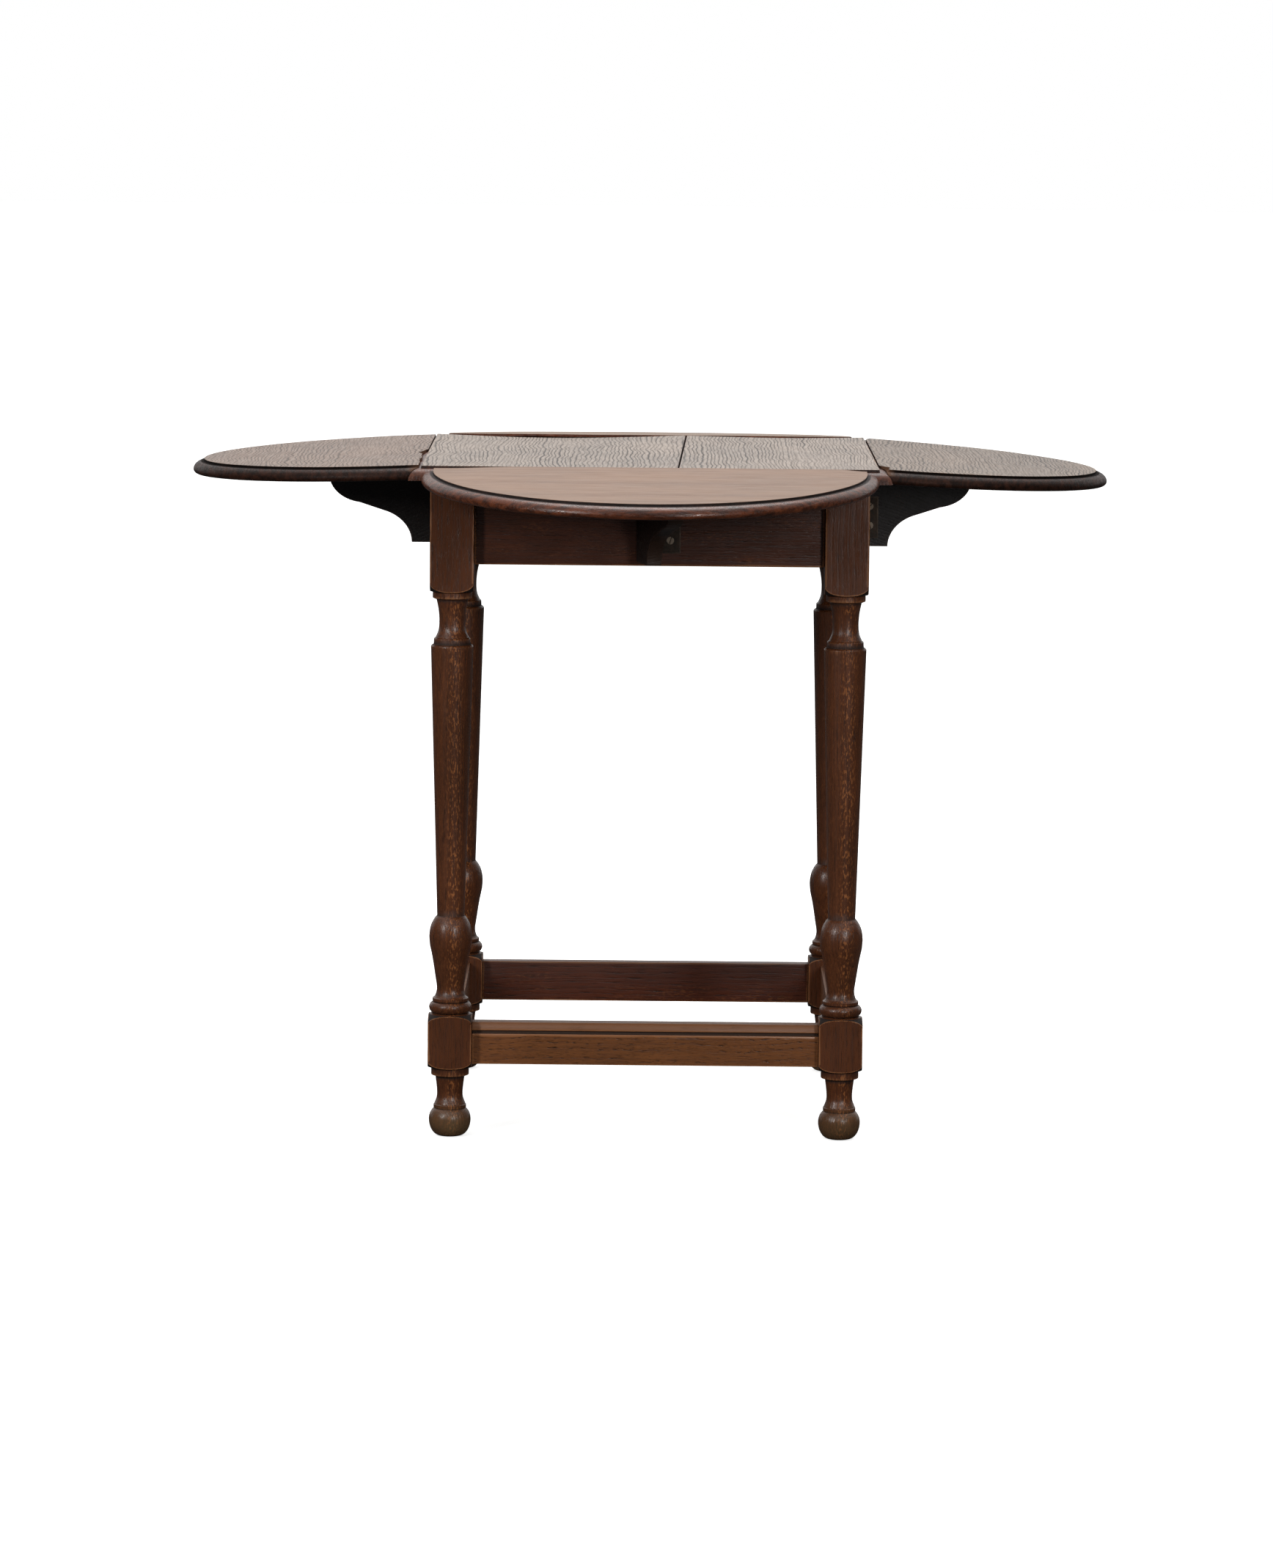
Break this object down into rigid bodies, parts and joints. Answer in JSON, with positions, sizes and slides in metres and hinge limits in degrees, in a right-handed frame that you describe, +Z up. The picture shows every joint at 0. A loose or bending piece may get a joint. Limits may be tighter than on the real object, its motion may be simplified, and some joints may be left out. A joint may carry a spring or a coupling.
{
  "type": "drop-leaf occasional table",
  "caption": "Square oak occasional table with D-shaped drop leaves on rule joints, swinging ogee leaf brackets, turned legs and a low box stretcher.",
  "frame": {"origin": "on the floor, under the middle of the table's feet", "axes": "+Z up; the front leaf points to -Y, the right leaf to +X"},
  "size_m": [0.9812, 0.981, 0.71],
  "materials": {
    "top_oak": "worn greyish wax over open-grained oak",
    "leaf_oak": "worn wax over oak, dark glossy moulded edge",
    "frame_oak": "dark stained and polished oak, rubbed on the edges",
    "bracket_oak": "dark stained oak",
    "block_oak": "unfinished oak",
    "hinge_iron": "dark oxidised iron"
  },
  "bodies": {
    "frame": {"top_board_left": "top_oak", "top_board_right": "top_oak", "leg_front_left": "frame_oak", "leg_front_right": "frame_oak", "leg_back_left": "frame_oak", "leg_back_right": "frame_oak", "apron_front": "frame_oak", "stretcher_front": "frame_oak", "glue_block_front": "block_oak", "bracket_hinge_front_apron_plate": "hinge_iron", "bracket_hinge_front_pin": "hinge_iron", "leaf_hinge_front_1_top_plate": "hinge_iron", "leaf_hinge_front_2_top_plate": "hinge_iron", "apron_right": "frame_oak", "stretcher_right": "frame_oak", "glue_block_right": "block_oak", "bracket_hinge_right_apron_plate": "hinge_iron", "bracket_hinge_right_pin": "hinge_iron", "leaf_hinge_right_1_top_plate": "hinge_iron", "leaf_hinge_right_2_top_plate": "hinge_iron", "apron_back": "frame_oak", "stretcher_back": "frame_oak", "glue_block_back": "block_oak", "bracket_hinge_back_apron_plate": "hinge_iron", "bracket_hinge_back_pin": "hinge_iron", "leaf_hinge_back_1_top_plate": "hinge_iron", "leaf_hinge_back_2_top_plate": "hinge_iron", "apron_left": "frame_oak", "stretcher_left": "frame_oak", "glue_block_left": "block_oak", "bracket_hinge_left_apron_plate": "hinge_iron", "bracket_hinge_left_pin": "hinge_iron", "leaf_hinge_left_1_top_plate": "hinge_iron", "leaf_hinge_left_2_top_plate": "hinge_iron"},
    "leaf_front": {"leaf_front": "leaf_oak", "leaf_hinge_front_1_leaf_plate": "hinge_iron", "leaf_hinge_front_2_leaf_plate": "hinge_iron"},
    "leaf_right": {"leaf_right": "leaf_oak", "leaf_hinge_right_1_leaf_plate": "hinge_iron", "leaf_hinge_right_2_leaf_plate": "hinge_iron"},
    "leaf_back": {"leaf_back": "leaf_oak", "leaf_hinge_back_1_leaf_plate": "hinge_iron", "leaf_hinge_back_2_leaf_plate": "hinge_iron"},
    "leaf_left": {"leaf_left": "leaf_oak", "leaf_hinge_left_1_leaf_plate": "hinge_iron", "leaf_hinge_left_2_leaf_plate": "hinge_iron"},
    "bracket_front": {"bracket_front": "bracket_oak", "bracket_hinge_front_bracket_plate": "hinge_iron"},
    "bracket_right": {"bracket_right": "bracket_oak", "bracket_hinge_right_bracket_plate": "hinge_iron"},
    "bracket_back": {"bracket_back": "bracket_oak", "bracket_hinge_back_bracket_plate": "hinge_iron"},
    "bracket_left": {"bracket_left": "bracket_oak", "bracket_hinge_left_bracket_plate": "hinge_iron"}
  },
  "joints": [
    {"name": "leaf_front_hinge", "type": "hinge", "parent": "frame", "child": "leaf_front", "pos_m": [0, -0.2385, 0.695], "axis": [-1, 0, 0], "range_deg": [0, 4.3]},
    {"name": "leaf_right_hinge", "type": "hinge", "parent": "frame", "child": "leaf_right", "pos_m": [0.2385, 0, 0.695], "axis": [0, -1, 0], "range_deg": [0, 3.7]},
    {"name": "leaf_back_hinge", "type": "hinge", "parent": "frame", "child": "leaf_back", "pos_m": [0, 0.2385, 0.695], "axis": [1, 0, 0], "range_deg": [0, 3.2]},
    {"name": "leaf_left_hinge", "type": "hinge", "parent": "frame", "child": "leaf_left", "pos_m": [-0.2385, 0, 0.695], "axis": [0, 1, 0], "range_deg": [0, 2.6]},
    {"name": "bracket_front_hinge", "type": "hinge", "parent": "frame", "child": "bracket_front", "pos_m": [0.0041, -0.2176, 0.6415], "axis": [0, 0, 1], "range_deg": [-16, 74]},
    {"name": "bracket_right_hinge", "type": "hinge", "parent": "frame", "child": "bracket_right", "pos_m": [0.2176, -0.0106, 0.6415], "axis": [0, 0, -1], "range_deg": [0, 90]},
    {"name": "bracket_back_hinge", "type": "hinge", "parent": "frame", "child": "bracket_back", "pos_m": [-0.0106, 0.2176, 0.6415], "axis": [0, 0, 1], "range_deg": [0, 90]},
    {"name": "bracket_left_hinge", "type": "hinge", "parent": "frame", "child": "bracket_left", "pos_m": [-0.2176, 0.0106, 0.6415], "axis": [0, 0, -1], "range_deg": [0, 90]}
  ]
}
